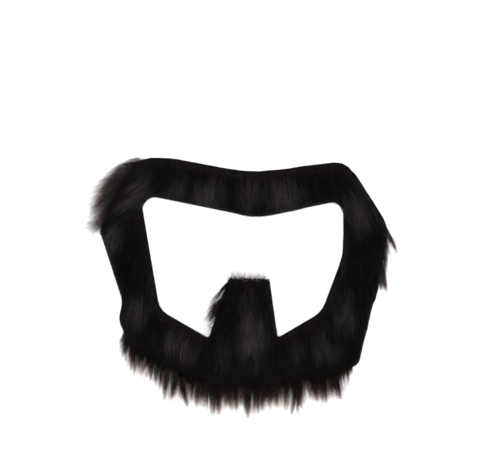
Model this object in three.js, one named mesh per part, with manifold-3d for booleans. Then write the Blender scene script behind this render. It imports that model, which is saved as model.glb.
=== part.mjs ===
// A stick-on costume moustache of long black fur cloth, lying flat with its fur up. The cloth is cut as one ring
// round the mouth: the moustache under the nose, a band down each side of the mouth and a beard over the chin,
// with a soul patch that stands up from the chin band into the opening.
// Millimetres. +Z is up out of the fur, +Y points to the nose, and left and right are as seen from the fur side.
// The origin is the middle of the outer box, on the face that sticks to the skin.
import * as THREE from "three";
import { mergeVertices } from "three/addons/utils/BufferGeometryUtils.js";
import Module from "manifold-3d";

const wasm = await Module();
wasm.setup();

// The opening for the mouth, and the cloth round it
const OPENING_WIDTH = 90;
const OPENING_HEIGHT = 70; // from the upper corners down to the valley where the chin band's inner edges would meet
const LIP_BAND = 20;
const SIDE_BAND = 18;
const CHIN_BAND = 20;
const PATCH_TOP_WIDTH = 18.5;
const PATCH_FOOT_WIDTH = 31;
const PATCH_SHIFT = 2.6; // how far right of the middle the soul patch's top sits
const MOUTH_GAP = 27.5; // between the moustache and the top of the soul patch

// Layers, from the skin up
const ADHESIVE_THICKNESS = 0.4;
const ADHESIVE_INSET = 1;
const CLOTH_THICKNESS = 1.2;
const PILE_EDGE = 2.4; // height of the fur over the cloth at a trimmed edge
const PILE_CROWN = 5; // height of the bed of fur in the middle of a band
const CROWN_INSET = 6; // how far inside the edge the bed reaches its full height

// Locks of fur on the bed, and the longer ones of the free edges
const LOCK_PITCH = 8.4;
const LOCK_LENGTH = 16;
const LOCK_WIDTH = 7;
const LOCK_THICKNESS = 3;
const LOCK_LIFT = 1.3; // how far a lock's back stands out of the bed
const FRINGE_OVERHANG = 17; // how far the longest locks pass the cloth's edge
const FRINGE_PITCH = 4.6;
const FRINGE_WIDTH = 6.4;
const FRINGE_THICKNESS = 3.4;
const FRINGE_HOLD = 8; // how far inside the cloth's edge a fringe lock is rooted
const TIP_HEIGHT = 1.1; // of a fringe lock's point over the table
const SHOULDER_LEAN = 1.05; // sideways over downwards, at the ends of the moustache
const CHIN_LEAN = 0.28;

// Clearances, and how finely corners are rounded
const CLEARANCE = 0.3;
const CORNER_ROUNDING = 6;
const CORNER_STEPS = 3;
const BED_GRID = 4.5;

const CLOTH_BOTTOM = ADHESIVE_THICKNESS;
const CLOTH_TOP = CLOTH_BOTTOM + CLOTH_THICKNESS;
const CUTTER_HEIGHT = 40; // taller than all that it cuts
const FAR = OPENING_WIDTH + 2 * SIDE_BAND; // beyond the ends of every lock

// Corners of the mouth opening: x as a share of half its width, y as a share of its height above the valley, and
// round, where the corner's curve starts, as a share of the corner rounding
const OPENING = {
  under_nose: { x: 0.13, y: 0.897, round: 1 },
  right_corner: { x: 1.005, y: 1.01, round: 0.8 },
  right_side: { x: 1.005, y: 0.68, round: 1.2 },
  right_jaw: { x: 0.78, y: 0.295, round: 0.7 },
  left_jaw: { x: -0.83, y: 0.308, round: 0.7 },
  left_corner: { x: -1.025, y: 1.048, round: 0.8 },
};

// Corners of the cloth's outer edge: a place given as for the opening, then as shares of the side band outwards
// and of the lip band upwards or the chin band downwards
const CLOTH = {
  top_dip: { x: 0.09, y: 0.897, side: 0, lip: 1, chin: 0, round: 2 },
  right_shoulder: { x: 1.005, y: 1.01, side: 0.07, lip: 0.85, chin: 0, round: 1 },
  right_cheek: { x: 1.005, y: 0.833, side: 1.09, lip: 0, chin: 0, round: 0.5 },
  right_jaw: { x: 0.78, y: 0.295, side: 0.92, lip: 0, chin: 1.2, round: 0.5 },
  chin_right: { x: 0.52, y: 0.192, side: 0, lip: 0, chin: 1.18, round: 2.3 },
  chin_left: { x: -0.5, y: 0.18, side: 0, lip: 0, chin: 1.14, round: 2.3 },
  left_jaw: { x: -0.83, y: 0.308, side: -0.775, lip: 0, chin: 0.73, round: 0.5 },
  left_bulge: { x: -0.83, y: 0.308, side: -1.04, lip: 0, chin: 0.2, round: 0.7 },
  left_waist: { x: -0.83, y: 0.353, side: -0.91, lip: 0, chin: 0, round: 0.5 },
  left_cheek: { x: -0.99, y: 0.82, side: -1.1, lip: 0, chin: 0, round: 0.5 },
  left_shoulder: { x: -1.025, y: 1.048, side: -0.06, lip: 0.81, chin: 0, round: 1 },
  top_left: { x: -0.7, y: 1.01, side: 0, lip: 0.94, chin: 0, round: 2 },
};

// Free edges, where the fur isn't trimmed and hangs over. Each runs along corners of the cloth from one share of
// its length to another. reach is how far its locks pass the edge at the start, the middle and the end, as a share
// of the fringe's overhang, and heading their direction there, in degrees from +X.
const FREE_EDGES = [
  {
    zone: "right_side_fur", along: ["right_shoulder", "right_cheek", "right_jaw"], from: 0.335, to: 0.64,
    reach: [0.65, 0.27, 0.33], heading: [-72, -78, -88],
  },
  {
    zone: "chin_fur", along: ["right_jaw", "chin_right", "chin_left", "left_jaw"], from: 0.02, to: 0.99,
    reach: [0.53, 1, 0.59], heading: [-74, -90, -112],
  },
  {
    zone: "left_side_fur", along: ["left_jaw", "left_bulge"], from: 0.02, to: 0.5,
    reach: [0.47, 0.3, 0.18], heading: [-114, -110, -106],
  },
  {
    zone: "left_side_fur", along: ["left_cheek", "left_shoulder"], from: 0.02, to: 0.98,
    reach: [0.35, 0.94, 0.53], heading: [-112, -140, -165],
  },
  {
    zone: "soul_patch_fur", along: ["left_top", "left_foot"], from: 0.3, to: 0.85,
    reach: [0.09, 0.24, 0.12], heading: [-132, -122, -108],
  },
];

// A lock's sections from its root: shares of its length, width and thickness, and of its lift out of the bed
const LOCK_SECTIONS = [
  { along: 0, width: 0.55, thickness: 0.5, height: -0.8 },
  { along: 0.28, width: 1, thickness: 1, height: 1 },
  { along: 0.66, width: 0.72, thickness: 0.75, height: 0.75 },
];

function openingPoint({ x, y }) {
  return new THREE.Vector2((x * OPENING_WIDTH) / 2, y * OPENING_HEIGHT);
}

function clothPoint({ x, y, side, lip, chin }) {
  return openingPoint({ x, y }).add(new THREE.Vector2(side * SIDE_BAND, lip * LIP_BAND - chin * CHIN_BAND));
}

// The point of the chin band's inner edge, between the valley and a jaw, at this distance from the middle
function footOfPatch(jaw, distance) {
  const corner = openingPoint(jaw);
  return corner.multiplyScalar(distance / Math.abs(corner.x));
}

const patchTop = openingPoint(OPENING.under_nose).y - MOUTH_GAP;
const PATCH = {
  right_foot: footOfPatch(OPENING.right_jaw, PATCH_FOOT_WIDTH / 2),
  right_top: new THREE.Vector2(PATCH_SHIFT + PATCH_TOP_WIDTH / 2, patchTop),
  left_top: new THREE.Vector2(PATCH_SHIFT - PATCH_TOP_WIDTH / 2, patchTop),
  left_foot: footOfPatch(OPENING.left_jaw, PATCH_FOOT_WIDTH / 2),
};
const PATCH_ROUND = 0.25;

const corner = (point, round) => ({ point, round: round * CORNER_ROUNDING });
const openingCorners = [
  ...["under_nose", "right_corner", "right_side", "right_jaw"].map((name) =>
    corner(openingPoint(OPENING[name]), OPENING[name].round)),
  ...Object.values(PATCH).map((point) => corner(point, PATCH_ROUND)),
  ...["left_jaw", "left_corner"].map((name) => corner(openingPoint(OPENING[name]), OPENING[name].round)),
];
const clothCorners = Object.values(CLOTH).map((row) => corner(clothPoint(row), row.round));

// Corners that run clockwise, with each straight run moved to the right of its direction by a distance
function moved(corners, distance) {
  return corners.map(({ point, round }, i) => {
    const before = corners.at(i - 1).point;
    const after = corners[(i + 1) % corners.length].point;
    const rightOf = (from, to) => to.clone().sub(from).normalize().rotateAround(new THREE.Vector2(), -Math.PI / 2);
    const a = rightOf(before, point);
    const b = rightOf(point, after);
    return { point: point.clone().addScaledVector(a.clone().add(b), distance / (1 + a.dot(b))), round };
  });
}

// The points of a closed outline whose corners are rounded by a curve that starts `round` before each corner
function outline(corners) {
  return corners.flatMap(({ point, round }, i) => {
    const before = corners.at(i - 1).point;
    const after = corners[(i + 1) % corners.length].point;
    const cut = Math.min(round, 0.45 * point.distanceTo(before), 0.45 * point.distanceTo(after));
    const towards = (other) => other.clone().sub(point).setLength(cut).add(point);
    return new THREE.QuadraticBezierCurve(towards(before), point, towards(after)).getPoints(CORNER_STEPS);
  });
}

// The ring of cloth between two heights, with all its edges moved into it by an inset
function ringBody({ inset, bottom, top }) {
  const shape = new THREE.Shape(outline(moved(clothCorners, inset)));
  shape.holes.push(new THREE.Path(outline(moved(openingCorners, -inset)).reverse()));
  return extruded(shape, top - bottom).translate(0, 0, bottom);
}

function extruded(shape, depth) {
  const geometry = new THREE.ExtrudeGeometry(shape, { depth, bevelEnabled: false });
  geometry.deleteAttribute("normal");
  geometry.deleteAttribute("uv");
  return mergeVertices(geometry, 1e-4);
}

function indexed(positions, faces) {
  const geometry = new THREE.BufferGeometry();
  geometry.setAttribute("position", new THREE.Float32BufferAttribute(positions, 3));
  geometry.setIndex(faces);
  return geometry;
}

// A repeatable number from 0 to 1 for a place
function scatter(x, y, salt) {
  const wave = Math.sin(x * 12.9898 + y * 78.233 + salt * 37.719) * 43758.5453;
  return wave - Math.floor(wave);
}

// A tapering lock of fur from its root to its point, with a diamond section
function lockBody({ root, tip, width, thickness, rootHeight, tipHeight, lift }) {
  const run = tip.clone().sub(root);
  const aside = new THREE.Vector2(-run.y, run.x).normalize();
  const positions = LOCK_SECTIONS.flatMap((section) => {
    const middle = root.clone().addScaledVector(run, section.along);
    const z = THREE.MathUtils.lerp(rootHeight, tipHeight, section.along ** 2) + section.height * lift;
    const half = (section.width * width) / 2;
    const deep = (section.thickness * thickness) / 2;
    const left = middle.clone().addScaledVector(aside, half);
    const right = middle.clone().addScaledVector(aside, -half);
    return [left.x, left.y, z - 0.35 * deep, middle.x, middle.y, z + deep,
      right.x, right.y, z - 0.35 * deep, middle.x, middle.y, z - deep];
  });
  positions.push(tip.x, tip.y, tipHeight);
  const sides = 4;
  const last = (LOCK_SECTIONS.length - 1) * sides;
  const point = LOCK_SECTIONS.length * sides;
  const faces = [0, 2, 1, 0, 3, 2];
  for (let i = 0; i < sides; i++) {
    const next = (i + 1) % sides;
    for (let base = 0; base < last; base += sides) {
      faces.push(base + i, base + next, base + sides + next, base + i, base + sides + next, base + sides + i);
    }
    faces.push(last + i, last + next, point);
  }
  return indexed(positions, faces);
}

function solidOf(geometry) {
  const merged = mergeVertices(geometry, 1e-4);
  return new wasm.Manifold(new wasm.Mesh({
    numProp: 3,
    vertProperties: new Float32Array(merged.getAttribute("position").array),
    triVerts: new Uint32Array(merged.index.array),
  }));
}

function geometryOf(solid) {
  const { numProp, vertProperties, triVerts } = solid.getMesh();
  const positions = [];
  for (let i = 0; i < vertProperties.length; i += numProp) positions.push(...vertProperties.subarray(i, i + 3));
  return indexed(positions, [...triVerts]);
}

function isInside(point, loop) {
  let inside = false;
  loop.forEach((a, i) => {
    const b = loop.at(i - 1);
    const crosses = a.y > point.y !== b.y > point.y;
    if (crosses && point.x < ((b.x - a.x) * (point.y - a.y)) / (b.y - a.y) + a.x) inside = !inside;
  });
  return inside;
}

const clothEdge = outline(clothCorners);
const openingEdge = outline(openingCorners);
const onCloth = (point) => isInside(point, clothEdge) && !isInside(point, openingEdge);

// The way the fur lies: down towards the chin, leaning outwards on the sides and most at the shoulders
function nap(point) {
  const side = THREE.MathUtils.clamp(point.x / (OPENING_WIDTH / 2), -1, 1) ** 3;
  const up = THREE.MathUtils.smoothstep(point.y, 0.3 * OPENING_HEIGHT, 1.1 * OPENING_HEIGHT);
  const lean = THREE.MathUtils.lerp(CHIN_LEAN, SHOULDER_LEAN, up) * side;
  return new THREE.Vector2(lean, -1).normalize();
}

// Each zone of fur is what lies inside its own polygon. Neighbours part along a line from an inner to an outer corner.
const far = (row, from) => clothPoint(row).sub(from).setLength(FAR).add(from);
const inner = Object.fromEntries(Object.entries(OPENING).map(([name, row]) => [name, openingPoint(row)]));
const lowerFar = new THREE.Vector2(0, -FAR);
const upperFar = new THREE.Vector2(0, 2 * FAR);
const mouth = new THREE.Vector2(0, inner.under_nose.y - MOUTH_GAP / 2);
const ZONES = {
  moustache_fur: [
    mouth, inner.left_corner, far(CLOTH.left_shoulder, inner.left_corner), upperFar,
    far(CLOTH.right_shoulder, inner.right_corner), inner.right_corner,
  ],
  right_side_fur: [
    mouth, inner.right_corner, far(CLOTH.right_shoulder, inner.right_corner),
    far(CLOTH.right_jaw, inner.right_jaw), inner.right_jaw,
  ],
  chin_fur: [
    PATCH.left_foot, PATCH.right_foot, inner.right_jaw, far(CLOTH.right_jaw, inner.right_jaw), lowerFar,
    far(CLOTH.left_jaw, inner.left_jaw), inner.left_jaw,
  ],
  left_side_fur: [
    mouth, inner.left_jaw, far(CLOTH.left_jaw, inner.left_jaw),
    far(CLOTH.left_shoulder, inner.left_corner), inner.left_corner,
  ],
  soul_patch_fur: [
    PATCH.left_foot, inner.left_jaw, mouth, inner.right_jaw, PATCH.right_foot,
  ],
};

// The locks that lie on the bed of one zone, in staggered rows
function bedLocks(zone) {
  const locks = [];
  const rowPitch = LOCK_PITCH * Math.sqrt(0.75);
  for (let row = 0; row * rowPitch < 2 * FAR; row++) {
    for (let column = 0; column * LOCK_PITCH < 2 * FAR; column++) {
      const x = column * LOCK_PITCH - FAR + (row % 2) * (LOCK_PITCH / 2);
      const y = row * rowPitch - FAR / 2;
      const root = new THREE.Vector2(
        x + (scatter(column, row, 1) - 0.5) * 0.4 * LOCK_PITCH,
        y + (scatter(column, row, 2) - 0.5) * 0.4 * LOCK_PITCH,
      );
      if (!onCloth(root) || !isInside(root, ZONES[zone])) continue;
      const turn = (scatter(column, row, 3) - 0.5) * 0.4;
      const length = LOCK_LENGTH * (0.8 + 0.4 * scatter(column, row, 4));
      locks.push(lockBody({
        root,
        tip: nap(root).rotateAround(new THREE.Vector2(), turn).multiplyScalar(length).add(root),
        width: LOCK_WIDTH,
        thickness: LOCK_THICKNESS,
        rootHeight: CLOTH_TOP + PILE_CROWN - LOCK_THICKNESS / 2,
        tipHeight: CLOTH_TOP + PILE_EDGE,
        lift: LOCK_LIFT,
      }));
    }
  }
  return locks;
}

// Start, middle and end values blended along a free edge
const blend = ([start, middle, end], share) =>
  share < 0.5 ? THREE.MathUtils.lerp(start, middle, 2 * share) : THREE.MathUtils.lerp(middle, end, 2 * share - 1);

// The locks that hang over a free edge
function fringeLocks({ along, from, to, reach, heading }) {
  const points = along.map((name) => PATCH[name] ?? clothPoint(CLOTH[name]));
  const edge = new THREE.CurvePath();
  points.slice(1).forEach((point, i) => edge.add(new THREE.LineCurve(points[i], point)));
  const count = Math.max(2, Math.round((edge.getLength() * (to - from)) / FRINGE_PITCH));
  return Array.from({ length: count }, (unused, i) => {
    const share = (i + 0.5) / count;
    const onEdge = edge.getPointAt(THREE.MathUtils.lerp(from, to, share));
    const angle = THREE.MathUtils.degToRad(blend(heading, share) + 16 * (scatter(i, count, 5) - 0.5));
    const way = new THREE.Vector2(Math.cos(angle), Math.sin(angle));
    const beyond = FRINGE_OVERHANG * blend(reach, share) * (0.72 + 0.4 * scatter(i, count, 6));
    return lockBody({
      root: onEdge.clone().addScaledVector(way, -FRINGE_HOLD),
      tip: onEdge.clone().addScaledVector(way, beyond),
      width: FRINGE_WIDTH,
      thickness: FRINGE_THICKNESS,
      rootHeight: CLOTH_TOP + PILE_CROWN - FRINGE_THICKNESS / 2,
      tipHeight: TIP_HEIGHT,
      lift: LOCK_LIFT,
    });
  });
}

// How far a point lies from the nearest stretch of a loop
function distanceTo(point, loop) {
  const nearest = new THREE.Vector3();
  const at = new THREE.Vector3(point.x, point.y, 0);
  return Math.min(...loop.map((a, i) => {
    const b = loop.at(i - 1);
    const stretch = new THREE.Line3(new THREE.Vector3(a.x, a.y, 0), new THREE.Vector3(b.x, b.y, 0));
    return stretch.closestPointToPoint(at, true, nearest).distanceTo(at);
  }));
}

// The bed of fur before it is trimmed: level over the middle of each band and rounded off towards its edges
function bedBody() {
  const bounds = new THREE.Box2().setFromPoints(clothEdge).expandByScalar(BED_GRID);
  const columns = Math.ceil((bounds.max.x - bounds.min.x) / BED_GRID);
  const rows = Math.ceil((bounds.max.y - bounds.min.y) / BED_GRID);
  const positions = [];
  const faces = [];
  const layer = (columns + 1) * (rows + 1);
  for (const top of [false, true]) {
    for (let row = 0; row <= rows; row++) {
      for (let column = 0; column <= columns; column++) {
        const point = new THREE.Vector2(column, row).multiplyScalar(BED_GRID).add(bounds.min);
        const depth = onCloth(point) ? Math.min(distanceTo(point, clothEdge), distanceTo(point, openingEdge)) : 0;
        const share = Math.min(depth / CROWN_INSET, 1);
        const height = THREE.MathUtils.lerp(PILE_EDGE, PILE_CROWN, Math.sqrt(1 - (1 - share) ** 2));
        positions.push(point.x, point.y, CLOTH_TOP + (top ? height : 0));
      }
    }
  }
  const at = (column, row) => row * (columns + 1) + column;
  for (let row = 0; row < rows; row++) {
    for (let column = 0; column < columns; column++) {
      const [a, b, c, d] = [at(column, row), at(column + 1, row), at(column + 1, row + 1), at(column, row + 1)];
      faces.push(a, c, b, a, d, c);
      faces.push(...[a, b, c, a, c, d].map((i) => i + layer));
    }
  }
  const wall = (a, b) => faces.push(a, b, b + layer, a, b + layer, a + layer);
  for (let column = 0; column < columns; column++) {
    wall(at(column, 0), at(column + 1, 0));
    wall(at(column + 1, rows), at(column, rows));
  }
  for (let row = 0; row < rows; row++) {
    wall(at(columns, row), at(columns, row + 1));
    wall(at(0, row + 1), at(0, row));
  }
  return indexed(positions, faces);
}

const trimmed = solidOf(ringBody({ inset: 0, bottom: 0, top: CUTTER_HEIGHT }));
const bed = solidOf(bedBody()).intersect(trimmed);
const roundTheCloth = solidOf(ringBody({ inset: -CLEARANCE, bottom: -CUTTER_HEIGHT, top: CLOTH_TOP }));

function zoneFur(zone) {
  const united = (solids) => solids.reduce((sum, solid) => sum.add(solid));
  const lying = united([bed, ...bedLocks(zone).map(solidOf)]).intersect(trimmed);
  const hanging = FREE_EDGES.filter((edge) => edge.zone === zone).flatMap(fringeLocks);
  const room = solidOf(extruded(new THREE.Shape(ZONES[zone]), CUTTER_HEIGHT));
  const fur = united([lying, ...hanging.map(solidOf)]).subtract(roundTheCloth).intersect(room);
  // The biggest shell alone, so that no hollow is left shut up between locks
  return geometryOf(fur.decompose().reduce((most, shell) => (shell.volume() > most.volume() ? shell : most)));
}

const furMaterial = new THREE.MeshStandardMaterial({ color: 0x141112, roughness: 0.55, metalness: 0 });
const clothMaterial = new THREE.MeshStandardMaterial({ color: 0x18161a, roughness: 0.9, metalness: 0 });
const adhesiveMaterial = new THREE.MeshStandardMaterial({ color: 0xe9e2cf, roughness: 0.45, metalness: 0 });

const moustache = new THREE.Group();
function addPiece(name, geometry, material) {
  const piece = new THREE.Mesh(geometry, material);
  piece.name = name;
  moustache.add(piece);
}

addPiece(
  "adhesive_layer",
  ringBody({ inset: ADHESIVE_INSET, bottom: 0, top: ADHESIVE_THICKNESS }),
  adhesiveMaterial,
);
addPiece("fabric_backing", ringBody({ inset: 0, bottom: CLOTH_BOTTOM, top: CLOTH_TOP }), clothMaterial);
Object.keys(ZONES).forEach((zone) => addPiece(zone, zoneFur(zone), furMaterial));

const middle = new THREE.Box3().setFromObject(moustache).getCenter(new THREE.Vector3());
moustache.position.set(-middle.x, -middle.y, 0);

export default moustache;
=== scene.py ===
import math

import bpy
import numpy as np
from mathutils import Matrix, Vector
from mathutils.bvhtree import BVHTree
from mathutils.geometry import delaunay_2d_cdt


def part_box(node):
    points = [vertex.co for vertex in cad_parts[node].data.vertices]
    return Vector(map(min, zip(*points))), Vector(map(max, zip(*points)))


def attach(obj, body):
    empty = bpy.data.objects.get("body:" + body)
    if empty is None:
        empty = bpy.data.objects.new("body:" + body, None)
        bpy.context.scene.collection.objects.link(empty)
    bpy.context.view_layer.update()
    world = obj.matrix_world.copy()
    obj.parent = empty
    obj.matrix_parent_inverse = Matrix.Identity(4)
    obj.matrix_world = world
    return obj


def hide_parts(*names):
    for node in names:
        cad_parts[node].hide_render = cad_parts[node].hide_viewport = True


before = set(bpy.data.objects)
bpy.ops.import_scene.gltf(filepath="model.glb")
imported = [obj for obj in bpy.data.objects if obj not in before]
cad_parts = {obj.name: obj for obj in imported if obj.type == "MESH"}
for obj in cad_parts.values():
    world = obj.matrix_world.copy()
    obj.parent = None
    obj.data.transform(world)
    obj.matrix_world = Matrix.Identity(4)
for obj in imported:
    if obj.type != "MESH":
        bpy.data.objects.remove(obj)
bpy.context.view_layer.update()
random = np.random.default_rng(11)

# Sizes are in millimetres, in the row frame, and turned into metres where a mesh is made.
MM = 0.001
FIELD_PITCH = 0.4
FIELD_MARGIN = 26.0
PILE_EDGE = 2.3
PILE_CROWN = 6.0
CROWN_INSET = 6.5
RISE = 1.7
STEP = 1.0
LAY_BLEND = 30
ROOT_MARGIN = 0.12
EDGE_DEPTH = 0.7

# The shares of u that tell the kinds of hair apart in the hair's texture coordinates
LYING = (0.02, 0.62)
AT_EDGE = (0.65, 0.69)
DENSE = (0.71, 0.725)
DUSKY = (0.735, 0.745)
BROWN = (0.75, 0.80)
PALE = (0.80, 0.85)
ASHEN = (0.87, 0.92)
FLYING = (0.94, 0.98)


def table(columns, rows):
    """Rows of values, each under the names of its columns."""
    names = columns.split()
    return [dict(zip(names, row)) for row in rows]


# The way the hair lies at some places, in degrees from +X; it turns smoothly between them.
LAY = table("x y heading", [
    (-45, 55, -158),
    (-53, 53, -172),
    (-62, 48, -158),
    (-56, 42, -154),
    (-67, 41, -138),
    (-61, 30, -134),
    (-69, 31, -118),
    (-54, 12, -106),
    (-50, -15, -98),
    (-50, -29, -108),
    (-42, -40, -97),
    (-29, -38, -96),
    (0, -38, -90),
    (29, -38, -86),
    (47, -33, -82),
    (47, -6, -88),
    (54, 16, -84),
    (62, 13, -90),
    (61, 3, -89),
    (61, 29, -68),
    (67, 19, -64),
    (50, 43, -62),
    (29, 43, -82),
    (2, 41, -90),
    (-25, 46, -97),
    (-42, 44, -128),
    (-13, -9, -122),
    (-19, -14, -134),
    (0, -9, -91),
    (11, -9, -88),
])

# Stretches of the cloth's edge that aren't trimmed. Hairs that cross the edge within radius of a place pass
# it by core in the dense coat, and by reach in the thin hair beyond it.
FREE_STRETCHES = table("x y radius core reach", [
    (-46, 57, 3, 0.5, 5),
    (-50, 53, 4, 2.4, 10),
    (-54, 46, 6, 10.5, 18),
    (-59, 37, 6, 8.5, 17),
    (-63, 30, 4, 0.8, 8),
    (-64, 26, 3, 0.2, 2.4),
    (63, 28, 3, 1.5, 5),
    (63.4, 22, 4, 1.5, 6),
    (62, 15, 4, 11, 14),
    (60.5, 9, 4, 11, 13),
    (59.3, 3.5, 3.2, 5.4, 6),
    (-53.6, -22, 2.5, 0.5, 7),
    (-51.5, -25, 3.5, 3.2, 9),
    (-47, -28, 4, 7.2, 16),
    (-41, -31.5, 4, 5.8, 15),
    (-36, -34.5, 4, 4.8, 18),
    (-30, -37.5, 4, 4.2, 16),
    (-25, -39.5, 4, 5.2, 16),
    (-19, -41, 4, 4.4, 16),
    (-13, -42, 4, 11.5, 19),
    (-7, -42, 4, 12.5, 18),
    (0, -42, 4, 14, 21),
    (7, -42, 4, 13.5, 19),
    (13, -42, 3.4, 10, 18),
    (17, -41.5, 3, 4.2, 15),
    (22, -41, 4, 11, 20),
    (28, -40.5, 3.4, 4.2, 16),
    (33, -39.5, 3.6, 10.5, 16),
    (38, -38.5, 3.4, 9.5, 15),
    (42, -37.5, 2.4, 6.6, 13),
    (46, -36.3, 2.4, 0.8, 5),
    (-12, -8, 6, 1.5, 5),
])

# Corners of the opening that the hair rounds off: each is trimmed to a circle about the centre.
ROUNDED_CORNERS = table("corner centre radius", [
    ((-46.7, 41.5), (-39.9, 34.4), 5.5),
    ((44.6, 38.7), (39.1, 32.0), 5.5),
])

# Places where the coat leans over the cloth's edge, by how much at their middle
OVERHANGS = table("x y radius by", [
    (17, 53, 14, 0.5),
    (33, 54.5, 17, 0.85),
    (-36, 57.5, 12, 0.45),
    (54, 44, 12, 0.75),
    (59, 36, 12, 0.85),
    (44.6, 26, 13, 0.75),
    (6, 31.5, 12, 0.4),
    (17, 33.2, 12, 0.45),
    (55, -14, 12, 0.45),
    (58.3, -2, 7, 1.6),
    (-3, 3.3, 7, 0.6),
    (-9.5, -2, 4, 0.4),
])

# density is in hairs to a square millimetre of cloth. clump is the distance between the middles of two
# clumps, which pull their hairs together by pull. Hairs that hang over an edge form locks, which leave it at
# least lock apart and gather towards their tips by gather. free names the column of the free stretches that
# they follow. A lock takes a share hang of it, and a hair a share tips of its lock's length, the longest the
# rarer the larger thin is. layer is about the share of the coat's height at which the highest hairs lie, and
# hanging is the kind of hair past the edge. wave and turn are how far a hair waves and turns away from the
# lay, in radians. past_edge_only keeps only the hairs that pass an edge.
BED = {
    "rings": 3, "density": 4.2, "clump": 3.2, "pull": 0.4, "radius": 0.09, "wave": 0.04, "turn": 0.06,
    "free": "core", "lock": 2.2, "gather": 0.45, "hang": (0.65, 1.1), "tips": (0.6, 1.0), "thin": 1.0,
    "layer": 1.0, "hanging": DENSE, "past_edge_only": False,
}
ZONES = {
    "moustache_fur": {**BED, "length": 15, "hanging": DUSKY},
    "left_side_fur": {**BED, "length": 17, "hanging": DUSKY},
    "right_side_fur": {**BED, "length": 18, "hanging": DUSKY},
    "chin_fur": {**BED, "length": 20},
    "soul_patch_fur": {**BED, "length": 15},
}

# Longer hairs from within depth of an untrimmed edge, in a box on the plan from low to high
TUFT = {
    "rings": 4, "clump": 3.0, "pull": 0.2, "wave": 0.1, "free": "reach", "layer": 0.6, "tips": (0.25, 1.0),
    "hanging": BROWN, "past_edge_only": True,
}
CHIN_EDGE = {"low": (-60, -46), "high": (54, -18), "depth": 6, "length": 27, "radius": 0.05}
TUFTS = {
    "left_tuft_hair": {
        **TUFT, "low": (-70, 20), "high": (-42, 60), "depth": 6, "density": 7, "length": 27, "thin": 1.5,
        "radius": 0.045, "lock": 1.7, "gather": 0.5, "hang": (0.5, 1.1), "turn": 0.2, "wave": 0.24,
        "hanging": ASHEN,
    },
    "right_tuft_hair": {
        **TUFT, "low": (54, -2), "high": (70, 30), "depth": 4, "density": 9, "length": 16, "thin": 1.3,
        "radius": 0.045, "lock": 1.4, "gather": 0.4, "hang": (0.5, 1.1), "turn": 0.08, "hanging": ASHEN,
    },
    "chin_fringe_locks": {
        **TUFT, **CHIN_EDGE, "density": 3.6, "thin": 1.3, "lock": 2.1, "gather": 0.82, "hang": (0.5, 1.05),
        "turn": 0.07,
    },
    "chin_fringe_wisps": {
        **TUFT, **CHIN_EDGE, "density": 5.4, "thin": 1.0, "lock": 1.8, "gather": 0.62, "hang": (0.6, 1.1),
        "turn": 0.12, "hanging": PALE,
    },
    "soul_patch_wisps": {
        **TUFT, "low": (-18, -22), "high": (-6, 4), "depth": 3, "density": 9, "length": 13, "thin": 1.6,
        "radius": 0.045, "lock": 2.2, "gather": 0.6, "hang": (0.5, 1.1), "turn": 0.12,
    },
}

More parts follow.
